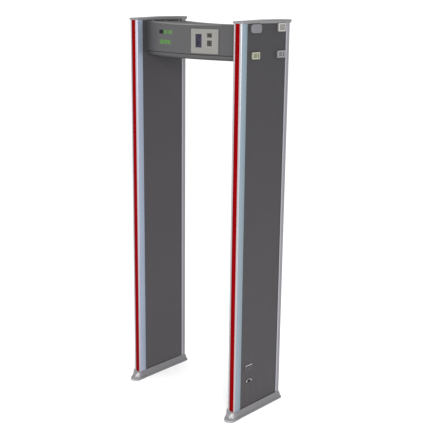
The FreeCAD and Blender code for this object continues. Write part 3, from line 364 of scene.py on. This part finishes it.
def laminate(name, low_tone, high_tone):
    """Dark laminate board: orange-peel texture, paler and scuffed towards the floor."""
    mat, tree, shader = new_material(name)
    vector = object_vector(tree)
    height = along(tree, "Z", cad_low.z, cad_high.z)
    base = ramp(tree, height, [(0.0, low_tone), (1.0, high_tone)])
    cloud = drift(tree, noise(tree, vector, 2.5, 4.0), grey(0.95), WHITE)
    marks = noise(tree, object_vector(tree, (1.0, 1.0, 0.25)), 46.0, 6.0, 0.7)
    worn = ramp(tree, marks, [(0.66, BLACK), (0.74, WHITE)])
    low_down = ramp(tree, height, [(0.02, WHITE), (0.16, BLACK)])
    scuff = multiply(tree, worn, low_down)
    tone = mix(tree, scuff, multiply(tree, base, cloud), shade(low_tone, 1.35))
    tree.links.new(tone, shader.inputs["Base Color"])
    tree.links.new(spread(tree, marks, 0.45, 0.56), shader.inputs["Roughness"])
    shader.inputs["Specular IOR Level"].default_value = 0.25
    bump(tree, shader, noise(tree, vector, 420.0, 3.0, 0.5), 0.25, 0.0003)
    return mat


def red_lens(name):
    """Extruded red acrylic with fine lengthwise lines."""
    mat, tree, shader = new_material(name)
    lines = noise(tree, object_vector(tree, (1.0, 1.0, 0.004)), 900.0, 2.0)
    clouds = noise(tree, object_vector(tree), 5.0, 2.0)
    tone = drift(tree, lines, (0.124, 0.0002, 0.0008), (0.161, 0.0004, 0.0014))
    tone = multiply(tree, tone, drift(tree, clouds, grey(0.92), WHITE))
    tree.links.new(tone, shader.inputs["Base Color"])
    tree.links.new(spread(tree, lines, 0.3, 0.4), shader.inputs["Roughness"])
    shader.inputs["Specular IOR Level"].default_value = 0.01
    bump(tree, shader, lines, 0.2, 0.0002)
    return mat


def turned_metal(name, colour, rough, metal=1.0):
    """Plated steel with faint turning marks."""
    mat, tree, shader = new_material(name)
    marks = noise(tree, object_vector(tree, (1.0, 1.0, 6.0)), 500.0, 3.0)
    tone = drift(tree, marks, shade(colour, 0.9), shade(colour, 1.05))
    tree.links.new(tone, shader.inputs["Base Color"])
    tree.links.new(spread(tree, marks, rough, rough + 0.1), shader.inputs["Roughness"])
    shader.inputs["Metallic"].default_value = metal
    bump(tree, shader, marks, 0.15, 0.0001)
    return mat


def glass_pane(name, colour):
    """Smoked display glass."""
    mat, tree, shader = new_material(name)
    smear = noise(tree, object_vector(tree), 40.0, 3.0)
    tone = drift(tree, smear, shade(colour, 0.92), shade(colour, 1.08))
    tree.links.new(tone, shader.inputs["Base Color"])
    tree.links.new(spread(tree, smear, 0.05, 0.14), shader.inputs["Roughness"])
    shader.inputs["Specular IOR Level"].default_value = 0.25
    shader.inputs["Alpha"].default_value = 0.3
    return mat


def glowing(name, colour, strength):
    """Lit light bars behind a tinted window."""
    mat, tree, shader = new_material(name)
    speck = noise(tree, object_vector(tree), 300.0, 2.0)
    tone = drift(tree, speck, shade(colour, 0.85), shade(colour, 1.15))
    tree.links.new(tone, shader.inputs["Base Color"])
    tree.links.new(tone, shader.inputs["Emission Color"])
    shader.inputs["Emission Strength"].default_value = strength
    shader.inputs["Roughness"].default_value = 0.4
    shader.inputs["Specular IOR Level"].default_value = 0.1
    return mat


def circuit(name):
    """Solder-masked board with faint copper tracks."""
    mat, tree, shader = new_material(name)
    tracks = add(tree, "ShaderNodeTexBrick")
    tracks.inputs["Scale"].default_value = 60.0
    tracks.inputs["Color1"].default_value = (*TRACK_GREEN, 1.0)
    tracks.inputs["Color2"].default_value = (*TRACK_GREEN_PALE, 1.0)
    tracks.inputs["Mortar"].default_value = (*TRACK_COPPER, 1.0)
    tracks.inputs["Mortar Size"].default_value = 0.03
    tree.links.new(object_vector(tree), tracks.inputs["Vector"])
    tree.links.new(tracks.outputs["Color"], shader.inputs["Base Color"])
    shader.inputs["Roughness"].default_value = 0.35
    return mat


def honeycomb_board(name):
    """Brown paper honeycomb, pale along its cell walls."""
    mat, tree, shader = new_material(name)
    cells = add(tree, "ShaderNodeTexVoronoi", feature="DISTANCE_TO_EDGE")
    cells.inputs["Scale"].default_value = 90.0
    tree.links.new(object_vector(tree), cells.inputs["Vector"])
    depth = cells.outputs["Distance"]
    tone = ramp(tree, depth, [(0.0, (0.55, 0.42, 0.25)), (0.2, (0.3, 0.22, 0.12))])
    tree.links.new(tone, shader.inputs["Base Color"])
    shader.inputs["Roughness"].default_value = 0.85
    bump(tree, shader, depth, 0.5, 0.001)
    return mat


def pale_frames_recess_shade(name):
    """Light plastic: white above, cream to lilac below, with painted shade inside its recess."""
    mat, tree, shader = new_material(name)
    low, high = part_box("open_bolt_covers")
    lower = drift(tree, along(tree, "Y", low.y, high.y), FRAME_CREAM, FRAME_LILAC)
    upper = ramp(tree, along(tree, "Z", low.z, high.z), [(0.45, BLACK), (0.55, WHITE)])
    tone = mix(tree, upper, lower, FRAME_WHITE)
    # painted shade: darker inside the recess
    recess = ramp(tree, along(tree, "X", low.x, high.x), [(0.74, (0.48, 0.48, 0.47)), (0.88, WHITE)])
    shaded = multiply(tree, tone, recess)
    plastic_finish(tree, shader, object_vector(tree), shaded, 0.42, SPARK, 0.2, 0.3)
    return mat


# ---- which node gets which material -------------------------------------------------------------
def give(material, *names):
    """Put the material on the CAD nodes named."""
    for name in names:
        for slot in nodes[name].material_slots:
            slot.material = material


def both(name):
    return [side + "_" + name for side in SIDES]


def dress_panels():
    """The two panels: profiles, skins, lenses, cores, coils, shoes and caps."""
    for side in SIDES:
        profile = side + "_front_profile"
        give(anodised(side + "_anodised", profile, FRONT_PAINTED_SHEEN[side]), profile)
    give(anodised("anodised_rear", "right_rear_profile", REAR_PAINTED_SHEEN), *both("rear_profile"))
    # the inner boards are painted paler than the outer ones, against the shade that the passage
    # between the panels puts on them
    outer = laminate("outer_laminate", (0.0350, 0.0318, 0.0350), (0.0238, 0.0224, 0.0247))
    inner = laminate("inner_laminate", (0.0426, 0.0390, 0.0425), (0.0323, 0.0299, 0.0336))
    give(outer, *both("outer_skin"))
    give(inner, *both("inner_skin"))
    give(red_lens("red_lens"), *both("lens"))
    give(honeycomb_board("core_board"), *both("core"))
    give(moulded("coil_tape", (0.55, 0.42, 0.08), 0.5, 200.0), *both("coil"))
    low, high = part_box("right_shoe")
    give(moulded_fade("shoe_grey", "Y", low.y, high.y, SHOE_TOE_HIGHLIGHT), *both("shoe"))
    low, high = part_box("right_cap")
    give(moulded_fade("cap_grey", "Z", low.z, high.z, CAP_PAINTED_LIGHT_AND_SHADE, 0.45), *both("cap"))
    give(turned_metal("bright_cup", (0.50, 0.49, 0.50), 0.45, 0.4), "anchor_cups")


def dress_beam():
    """The crossbeam's covers, its display window and its control plate."""
    give(moulded("beam_grey", BEAM_GREY, 0.45, relief=0.15), "front_cover", "rear_cover")
    # the top cover takes the beam's grey painted darker: painted shade on the beam's top
    give(moulded("top_grey_painted_shade", shade(BEAM_GREY, 0.6), relief=0.15, gloss=0.15), "top_cover")
    low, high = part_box("bottom_tray")
    give(moulded_fade("chin_grey", "Z", low.z, high.z, CHIN_PAINTED_SHADE), "bottom_tray")
    give(moulded("window_tint", shade(BEAM_GREY, 1.06), 0.4, relief=0.05), "display_window")
    give(glowing("lit_green", (0.028, 0.140, 0.003), 1.2), "display_digits")
    give(moulded("receiver_black", (0.003, 0.003, 0.004), 0.25, relief=0.03, gloss=0.1),
         "receiver_window")
    give(moulded("fascia_grey", (0.142, 0.140, 0.130), 0.45), "control_plate")
    give(moulded("overlay_film", (0.148, 0.146, 0.135), 0.4, 1500.0, 0.1), "control_overlay")
    give(glass_pane("lcd_glass", (0.03, 0.027, 0.045)), "lcd_window")
    give(moulded("lcd_panel", (0.020, 0.017, 0.036), 0.4, 2000.0, 0.0, 0.15), "lcd_module")
    give(moulded("key_dark", (0.036, 0.0345, 0.030), gloss=0.08), *KEYS)


def dress_inside():
    """The pieces that the covers and skins hide."""
    give(circuit("circuit_board"), *both("led_strip"), "keypad_board", "display_board", "main_board")
    give(moulded("powder_coat", (0.45, 0.45, 0.46), 0.55, 500.0), "beam_chassis", *both("end_plate"))
    give(moulded("supply_case", (0.5, 0.5, 0.51), 0.35, 500.0), "power_supply")
    give(moulded("sounder_black", grey(0.02), 0.6), "sounder")
    give(moulded("lead_grey", grey(0.2), 0.6), "coil_cables")
    give(moulded("lead_black", grey(0.015), 0.6), "mains_cable")


def dress_fittings():
    """Screws, bolt covers, the mains inlet and the switch."""
    steel = turned_metal("plated_steel", (0.40, 0.40, 0.41), 0.3)
    give(steel, "cap_screws", "shoe_screws", "beam_bolts", "cover_screws")
    give(turned_metal("bright_screw", (0.75, 0.75, 0.76), 0.25, 0.8), "inlet_screws")
    give(moulded("cover_grey", (0.109, 0.108, 0.120), 0.4), "bolt_covers")
    give(pale_frames_recess_shade("pale_frames_recess_shade"), "open_bolt_covers")
    give(moulded("inlet_body", INLET_DARK), "power_inlet")
    give(moulded("bezel_dark", shade(INLET_DARK, 1.1), 0.45), "switch_bezel")
    give(moulded("rocker_dark", shade(INLET_DARK, 0.9), 0.35), "power_rocker")


# ---- swept trim ---------------------------------------------------------------------------------
def half_round(width, height, steps=6):
    """Outline across and outwards of a bead sitting on a surface."""
    angles = [math.pi * i / steps for i in range(steps + 1)]
    return [(-width / 2 * math.cos(angle), height * math.sin(angle)) for angle in angles]


def flat_strip(width, height, edge):
    """Outline of a flat strip with its two outer edges broken."""
    w, h = width / 2, height
    return [(-w, 0.0), (-w, h - edge), (-w + edge, h), (w - edge, h), (w, h - edge), (w, 0.0)]


def sweep(mesh, points, out, outline):
    """Run the outline along the points. out is the outward direction, the same all the way."""
    runs = [(b - a).normalized() for a, b in zip(points, points[1:])]
    rings = []
    for i, point in enumerate(points):
        before = out.cross(runs[max(i - 1, 0)])
        after = out.cross(runs[min(i, len(runs) - 1)])
        across = (before + after) / (1.0 + before.dot(after))
        rings.append([mesh.verts.new(point + across * u + out * v) for u, v in outline])
    for ring, following in zip(rings, rings[1:]):
        for i in range(len(outline)):
            j = (i + 1) % len(outline)
            mesh.faces.new((ring[i], ring[j], following[j], following[i]))
    mesh.faces.new(rings[0][::-1])
    mesh.faces.new(rings[-1])


def finish_piece(mesh, name, material, body, smooth=True):
    """Turn a built mesh into a piece that rides on the body and takes the slot's finish."""
    bmesh.ops.recalc_face_normals(mesh, faces=mesh.faces)
    data = bpy.data.meshes.new(name)
    mesh.to_mesh(data)
    mesh.free()
    for polygon in data.polygons:
        polygon.use_smooth = smooth
    data.materials.append(material)
    piece = bpy.data.objects.new(name, data)
    bpy.context.scene.collection.objects.link(piece)
    if smooth:
        data.set_sharp_from_angle(angle=math.radians(40))
    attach(piece, body)


def panel_faces(side):
    """For the outer and the inner face of a panel: the skin's X and the outward direction."""
    outer_low, outer_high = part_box(side + "_outer_skin")
    inner_low, inner_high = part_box(side + "_inner_skin")
    if side == "right":
        return [(outer_high.x, Vector((1, 0, 0))), (inner_low.x, Vector((-1, 0, 0)))]
    return [(outer_low.x, Vector((-1, 0, 0))), (inner_high.x, Vector((1, 0, 0)))]


def skin_gaskets(material):
    """Soft beads in the step between each skin and the profiles' flanges."""
    mesh = bmesh.new()
    half = GASKET[0] / 2
    for side in SIDES:
        low_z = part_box(side + "_shoe")[1].z
        high_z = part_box(side + "_cap")[0].z
        front_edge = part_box(side + "_front_profile")[1].y
        rear_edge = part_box(side + "_rear_profile")[0].y
        for face_x, out in panel_faces(side):
            for y in (front_edge + half, rear_edge - half):
                ends = [Vector((face_x, y, low_z)), Vector((face_x, y, high_z))]
                sweep(mesh, ends, out, half_round(*GASKET))
    finish_piece(mesh, "skin_gaskets", material, "gate")


def shoe_trims(material):
    """Pale strips on each shoe's ledge, along both sides of the panel: a painted highlight on the
    ledge's top.
    """
    mesh = bmesh.new()
    for side in SIDES:
        low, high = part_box(side + "_front_profile")
        front_y = low.y + TRIM_FRONT
        rear_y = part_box(side + "_rear_profile")[1].y - TRIM_REAR
        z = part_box(side + "_shoe")[1].z
        for x in (low.x - TRIM_CLEAR, high.x + TRIM_CLEAR):
            ends = [Vector((x, front_y, z)), Vector((x, rear_y, z))]
            sweep(mesh, ends, Vector((0, 0, 1)), flat_strip(*TRIM_STRIP))
    finish_piece(mesh, "shoe_trims", material, "gate")


# ---- the bowed front ----------------------------------------------------------------------------
def bow_point(x, out, z):
    """A point out in front of the bow, at x from the beam's middle."""
    low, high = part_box("front_cover")
    angle = math.asin(x / BOW_R)
    radius = BOW_R + out
    middle_x = (low.x + high.x) / 2
    middle_y = low.y + BOW_R
    return Vector((middle_x + radius * math.sin(angle), middle_y - radius * math.cos(angle), z))


def crease_shade_strip(material):
    """Dark strip under the front cover's lower edge, standing out from the chin: painted shade in
    the crease.
    """
    mesh = bmesh.new()
    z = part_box("front_cover")[0].z - CREASE_DROP
    reach = BOW_HALF - CREASE_ENDS
    places = [-reach + 2 * reach * i / CREASE_STEPS for i in range(CREASE_STEPS + 1)]
    points = [bow_point(x, -CREASE_SETBACK, z) for x in places]
    sweep(mesh, points, Vector((0, 0, 1)), flat_strip(*CREASE_STRIP))
    finish_piece(mesh, "crease_shade_strip", material, "gate")


# ---- prints on the control plate ----------------------------------------------------------------
def plate_matrix():
    """Places things drawn about the control plate's middle, with -Y facing out."""
    angle = math.asin(PLATE_X / BOW_R)
    return Matrix.Translation(bow_point(PLATE_X, 0.0, 0.0)) @ Matrix.Rotation(angle, 4, "Z")


def local_box(node):
    """A control-plate node's box in the plate's own axes."""
    back = plate_matrix().inverted()
    corners = [back @ vertex.co for vertex in nodes[node].data.vertices]
    low = Vector([min(c[i] for c in corners) for i in range(3)])
    high = Vector([max(c[i] for c in corners) for i in range(3)])
    return low, high


def raised(mesh, foot, top, face, height):
    """A thin solid on a face, from its foot outline to its top outline, both lists of (x, z)."""
    back = [mesh.verts.new((x, -face, z)) for x, z in foot]
    front = [mesh.verts.new((x, -face - height, z)) for x, z in top]
    mesh.faces.new(front)
    mesh.faces.new(back[::-1])
    for i in range(len(back)):
        j = (i + 1) % len(back)
        mesh.faces.new((back[i], back[j], front[j], front[i]))


def rectangle(x0, x1, z0, z1):
    return [(x0, z0), (x1, z0), (x1, z1), (x0, z1)]


def slab(mesh, x0, x1, z0, z1, face, height):
    """A thin printed patch whose front is height proud of face, with its edges drawn in."""
    edge = height * EDGE_DRAW
    top = rectangle(x0 + edge, x1 - edge, z0 + edge, z1 - edge)
    raised(mesh, rectangle(x0, x1, z0, z1), top, face, height)


def outline_frame(mesh, x0, x1, z0, z1, line, face, height):
    """Four slabs that form a frame of the line's width inside x0 to x1 and z0 to z1."""
    slab(mesh, x0, x1, z1 - line, z1, face, height)
    slab(mesh, x0, x1, z0, z0 + line, face, height)
    slab(mesh, x0, x0 + line, z0 + line, z1 - line, face, height)
    slab(mesh, x1 - line, x1, z0 + line, z1 - line, face, height)


def finish_print(mesh, name, material, body):
    """Move a print from the plate's own axes to its place, and finish it flat-shaded."""
    mesh.transform(plate_matrix())
    finish_piece(mesh, name, material, body, False)


def lcd_outline(material):
    """Printed line round the LCD opening."""
    mesh = bmesh.new()
    low, high = local_box("lcd_window")
    inset = LCD_LINE_INSET
    outline_frame(mesh, low.x + inset, high.x - inset, low.z + inset, high.z - inset, LCD_LINE,
                  PLATE_FACE, PRINT_RISE)
    finish_print(mesh, "lcd_outline", material, "gate")


def block_edges(boxes, axis):
    """Where a block's two rows or columns of key openings start and end, along one axis."""
    inset = KEY_FLANGE - KEY_GAP
    lows = {round(low[axis] + inset, 6) for low, high in boxes}
    highs = {round(high[axis] - inset, 6) for low, high in boxes}
    return sorted(lows | highs)


def key_surrounds(material):
    """Dark printed field that the keys of each block stand in."""
    mesh = bmesh.new()
    border = FIELD_BORDER
    for block in (KEYS[:4], KEYS[4:]):
        boxes = [local_box(key) for key in block]
        xs = block_edges(boxes, 0)
        zs = block_edges(boxes, 2)
        for x0, x1 in ((xs[0] - border, xs[0]), (xs[1], xs[2]), (xs[3], xs[3] + border)):
            slab(mesh, x0, x1, zs[0] - border, zs[3] + border, PLATE_FACE, FIELD_RISE)
        for z0, z1 in ((zs[0] - border, zs[0]), (zs[1], zs[2]), (zs[3], zs[3] + border)):
            for x0, x1 in ((xs[0], xs[1]), (xs[2], xs[3])):
                slab(mesh, x0, x1, z0, z1, PLATE_FACE, FIELD_RISE)
    finish_print(mesh, "key_surrounds", material, "gate")


def arrow_mark(mesh, x, z, quarter_turns):
    """An arrow that points up, turned anticlockwise by quarter turns."""
    turn = math.radians(90 * quarter_turns)
    sine, cosine = math.sin(turn), math.cos(turn)
    turned = [(px * cosine - pz * sine, px * sine + pz * cosine) for px, pz in ARROW]
    outline = [(x + px * MARK_SIZE, z + pz * MARK_SIZE) for px, pz in turned]
    raised(mesh, outline, outline, KEY_FACE, PRINT_RISE)


def bar_mark(mesh, x, z, count):
    """A stack of bars about x, z."""
    half = MARK_BAR / 2
    for bar in range(count):
        middle = z + (bar - (count - 1) / 2) * MARK_PITCH
        slab(mesh, x - MARK_SIZE, x + MARK_SIZE, middle - half, middle + half, KEY_FACE, PRINT_RISE)


def key_marks(material):
    """A plain raised mark on each key: arrows on keys 1 to 4, one to four bars on keys 5 to 8."""
    for place, key in enumerate(KEYS):
        low, high = local_box(key)
        x, z = (low.x + high.x) / 2, (low.z + high.z) / 2
        mesh = bmesh.new()
        if place < 4:
            arrow_mark(mesh, x, z, place)
        else:
            bar_mark(mesh, x, z, place - 3)
        finish_print(mesh, "key_mark_%d" % (place + 1), material, key)


def figure_bars(x0, z0):
    """The seven bars of a figure with its lower left corner at x0, z0, each as x0, x1, z0, z1."""
    bar = FIGURE_BAR
    x1, z1 = x0 + FIGURE_WIDTH, z0 + FIGURE_HEIGHT
    mid = z0 + FIGURE_HEIGHT / 2
    return {
        "a": (x0 + bar, x1 - bar, z1 - bar, z1),
        "b": (x1 - bar, x1, mid, z1),
        "c": (x1 - bar, x1, z0, mid),
        "d": (x0 + bar, x1 - bar, z0, z0 + bar),
        "e": (x0, x0 + bar, z0, mid),
        "f": (x0, x0 + bar, mid, z1),
        "g": (x0 + bar, x1 - bar, mid - bar / 2, mid + bar / 2),
    }


def lcd_marks(material):
    """Two rows of seven-segment figures and rising level bars, behind the LCD glass."""
    mesh = bmesh.new()
    low, high = local_box("lcd_window")
    face = -high.y - LCD_BEHIND_GLASS
    left = low.x + LCD_MARGIN
    for figures, drop in FIGURE_ROWS:
        for i, figure in enumerate(figures):
            bars = figure_bars(left + i * FIGURE_PITCH, high.z - drop)
            for name in SEGMENTS[figure]:
                slab(mesh, *bars[name], face, LCD_RISE)
    foot = low.z + LEVEL_FOOT
    for i in range(LEVEL_BARS):
        x0 = left + i * LEVEL_PITCH
        slab(mesh, x0, x0 + LEVEL_WIDTH, foot, foot + LEVEL_FIRST + i * LEVEL_STEP, face, LCD_RISE)
    finish_print(mesh, "lcd_marks", material, "gate")


# ---- mains fittings -----------------------------------------------------------------------------
def bezel_lip(material):
    """Pale bead along the top of the switch bezel: a painted highlight on the bezel's top edge."""
    low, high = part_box("switch_bezel")
    mesh = bmesh.new()
    x = high.x - LIP_BACK
    z = high.z + LIP_ABOVE
    ends = [Vector((x, low.y + LIP_ENDS, z)), Vector((x, high.y - LIP_ENDS, z))]
    sweep(mesh, ends, Vector((1, 0, 0)), half_round(*LIP_BEAD))
    finish_piece(mesh, "bezel_lip", material, "gate")


def inlet_arc(material):
    """Raised arched line over the inlet, from one screw to the other: a painted highlight on the
    inlet's moulded rim.
    """
    low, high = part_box("power_inlet")
    middle = (low + high) / 2
    mesh = bmesh.new()
    points = []
    for i in range(ARC_STEPS + 1):
        t = 2 * i / ARC_STEPS - 1
        z = middle.z + ARC_FOOT + ARC_RISE * math.sqrt(1 - t * t)
        points.append(Vector((high.x - ARC_BACK, middle.y + t * ARC_REACH, z)))
    sweep(mesh, points, Vector((1, 0, 0)), half_round(*ARC_BEAD))
    finish_piece(mesh, "inlet_arc", material, "gate")


def build_trim():
    """Every piece that the CAD model doesn't have."""
    # dark: the beads beside the skins, and the painted shade in the beam's crease
    dark = moulded("seal_and_crease_shade", (0.012, 0.012, 0.013), 0.6, 700.0)
    skin_gaskets(dark)
    # the ledge strips' pale grey is a painted highlight
    shoe_trims(moulded("pale_strip_painted_highlight", (0.205, 0.200, 0.208), 0.5, 700.0))
    crease_shade_strip(dark)
    lcd_outline(moulded("print_dark", (0.040, 0.038, 0.050), 0.45))
    key_surrounds(moulded("key_field", (0.018, 0.0175, 0.015), gloss=0.08))
    key_marks(moulded("key_mark", (0.062, 0.060, 0.053), gloss=0.08))
    lcd_marks(moulded("lcd_ink", (0.034, 0.030, 0.054), 0.5, 2000.0, 0.0))
    # painted highlight: pale beads for the edge highlights of the switch bezel and the inlet
    bright = moulded("painted_highlight_line", (0.42, 0.42, 0.43), 0.4)
    bezel_lip(bright)
    inlet_arc(bright)


# ---- studio -------------------------------------------------------------------------------------
def build_floor():
    """A wide matt white floor that the gate stands on."""
    bpy.ops.mesh.primitive_plane_add(size=FLOOR_SIZE, location=(0, 0, cad_low.z))
    floor = bpy.context.object
    floor.name = "studio_floor"
    mat, tree, shader = new_material("studio_white")
    tone = drift(tree, noise(tree, object_vector(tree), 0.6, 2.0), grey(0.94), grey(0.96))
    tree.links.new(tone, shader.inputs["Base Color"])
    shader.inputs["Roughness"].default_value = 0.9
    floor.data.materials.append(mat)


def build_light(name, position, target, size, power, colour=WHITE):
    """A rectangular area light of that size in metres and power in watts, aimed at the target."""
    data = bpy.data.lights.new(name, "AREA")
    data.shape = "RECTANGLE"
    data.size, data.size_y = size
    data.energy = power
    data.color = colour
    light = bpy.data.objects.new(name, data)
    light.location = position
    direction = Vector(target) - Vector(position)
    light.rotation_euler = direction.to_track_quat("-Z", "Y").to_euler()
    bpy.context.scene.collection.objects.link(light)


def build_studio():
    """White surroundings, the floor, a key light from the right and a faint light from the left."""
    scene = bpy.context.scene
    world = bpy.data.worlds.new("studio")
    world.use_nodes = True
    background = world.node_tree.nodes["Background"]
    background.inputs["Color"].default_value = (*WHITE, 1.0)
    background.inputs["Strength"].default_value = WORLD_STRENGTH
    scene.world = world
    scene.view_settings.view_transform = "Standard"
    build_floor()
    build_light("front_key", (5.0, -5.4, 2.9), (0, 0, 1.1), (3.0, 3.0), 640.0)
    build_light("lip_light", (-4.3, -4.7, 1.8), (0, 0, 1.2), (2.5, 3.6), 30.0, (1.0, 0.96, 0.98))


def build_camera():
    """A pinhole camera: yawed about Z, pitched down, then rolled about its own line of sight."""
    data = bpy.data.cameras.new("camera")
    data.sensor_width = CAMERA_SENSOR
    data.lens = CAMERA_LENS
    sin_yaw, cos_yaw = math.sin(CAMERA_YAW), math.cos(CAMERA_YAW)
    sin_pitch, cos_pitch = math.sin(CAMERA_PITCH), math.cos(CAMERA_PITCH)
    sin_roll, cos_roll = math.sin(CAMERA_ROLL), math.cos(CAMERA_ROLL)
    forward = Vector((-sin_yaw * cos_pitch, cos_yaw * cos_pitch, -sin_pitch))
    right = Vector((cos_yaw, sin_yaw, 0.0))
    up = right.cross(forward)
    rolled_right = right * cos_roll + up * sin_roll
    rolled_up = up * cos_roll - right * sin_roll
    rotation = Matrix((rolled_right, rolled_up, -forward)).transposed()
    camera = bpy.data.objects.new("camera", data)
    camera.matrix_world = Matrix.Translation(CAMERA_AT) @ rotation.to_4x4()
    bpy.context.scene.collection.objects.link(camera)
    bpy.context.scene.camera = camera


dress_panels()
dress_beam()
dress_inside()
dress_fittings()
build_trim()
build_studio()
build_camera()
